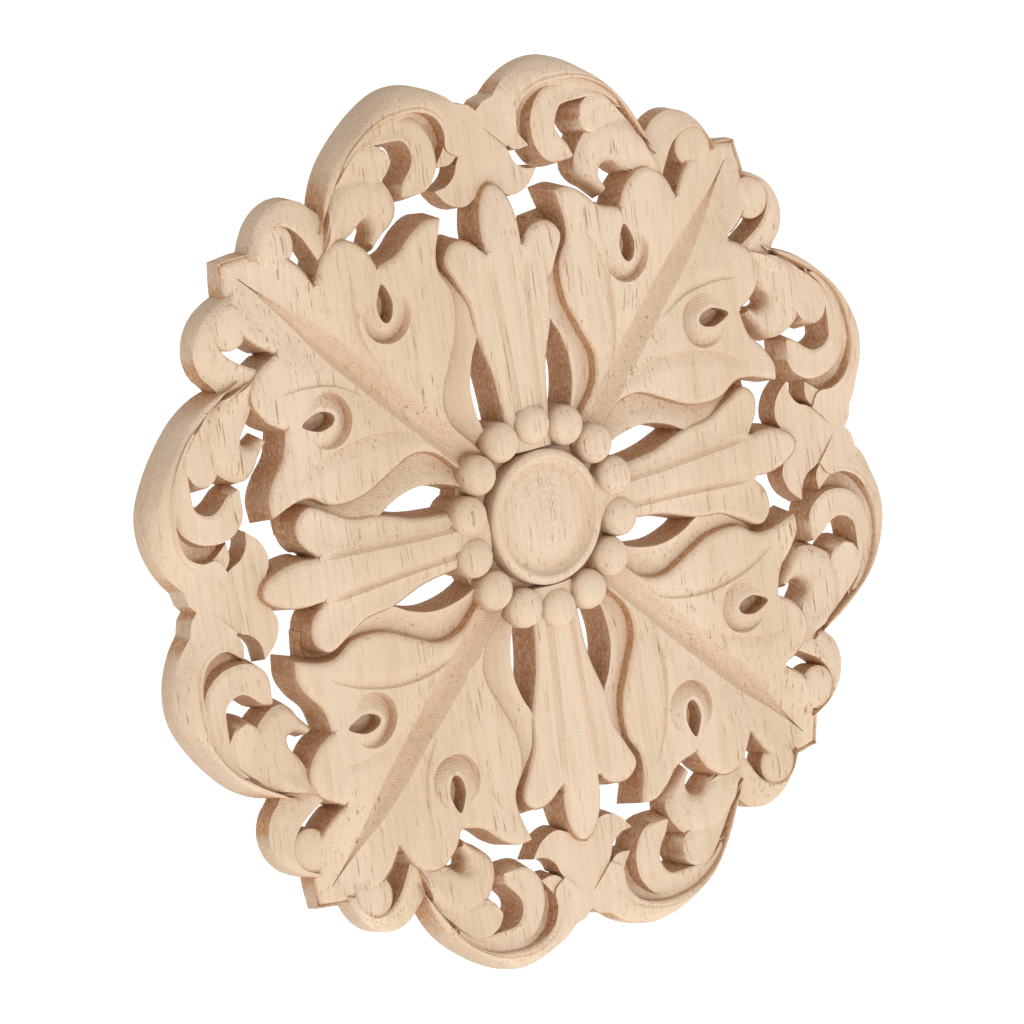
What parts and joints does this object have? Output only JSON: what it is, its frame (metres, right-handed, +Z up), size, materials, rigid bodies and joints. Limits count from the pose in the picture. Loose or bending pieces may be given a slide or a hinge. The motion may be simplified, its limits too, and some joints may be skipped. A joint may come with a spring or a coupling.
{
  "type": "carved wood applique",
  "caption": "Round pierced wood applique: pointed leaves and fluted tongues around a beaded button, with a border of scrolls.",
  "frame": {"origin": "middle of the flat back, where the applique meets the wall or panel", "axes": "+X to the right seen from the front, +Z up, the carving faces -Y and the flat back faces +Y"},
  "size_m": [0.1464, 0.0085, 0.1464],
  "materials": {
    "wood": "raw, unfinished, machine carved"
  },
  "bodies": {
    "root": {"rosette": "wood"}
  },
  "joints": []
}
